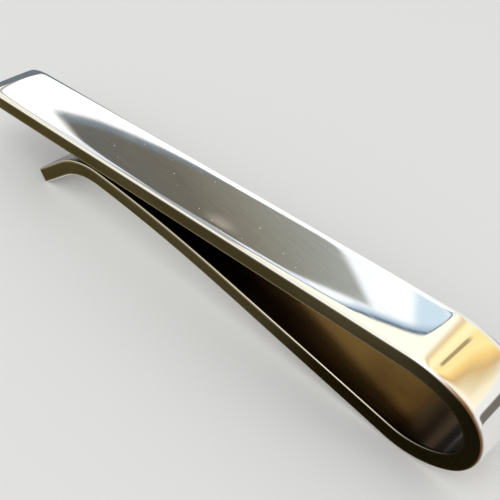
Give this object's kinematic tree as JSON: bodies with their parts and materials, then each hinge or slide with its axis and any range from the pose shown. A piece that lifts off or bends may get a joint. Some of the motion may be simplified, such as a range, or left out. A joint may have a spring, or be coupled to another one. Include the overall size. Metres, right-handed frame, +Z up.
{
  "type": "money clip",
  "caption": "Slim one-strip spring clip: a straight polished front bar, a rounded teardrop bend and a spring arm with a contact crest and flared lip.",
  "frame": {"origin": "under the middle of the clip's bounding box, on the surface the clip rests on, bar uppermost", "axes": "+X from the front bar's free end to the bend, +Y across the strip, +Z up; the bar slopes 3 degrees, because the clip stands on its heel and the lip's tip"},
  "size_m": [0.0564, 0.006, 0.0094],
  "materials": {
    "polished_silver": "mirror polish with fine buffing lines along the strip"
  },
  "bodies": {
    "front_bar": {"front_bar": "polished_silver"},
    "bend": {"bend_shoulder": "polished_silver", "bend_crown": "polished_silver"},
    "heel": {"bend_heel": "polished_silver", "spring_arm": "polished_silver"},
    "arm_end": {"arm_sweep": "polished_silver", "arm_crest": "polished_silver", "flared_lip": "polished_silver"}
  },
  "joints": [
    {"name": "shoulder_flex", "type": "hinge", "parent": "front_bar", "child": "bend", "pos_m": [0.02116, 0, 0.00936], "axis": [0, -1, 0], "range_deg": [0, 4.5], "stiffness_Nm_per_rad": 13.9},
    {"name": "heel_flex", "type": "hinge", "parent": "bend", "child": "heel", "pos_m": [0.02645, 0, 0.0014], "axis": [0, -1, 0], "range_deg": [0, 3]},
    {"name": "arm_flex", "type": "hinge", "parent": "heel", "child": "arm_end", "pos_m": [0.00393, 0, 0.00279], "axis": [0, -1, 0], "range_deg": [0, 2]}
  ],
  "couplings": [
    {"joint": "heel_flex", "follows": "shoulder_flex", "ratio": 0.6666},
    {"joint": "arm_flex", "follows": "shoulder_flex", "ratio": 0.4444}
  ]
}
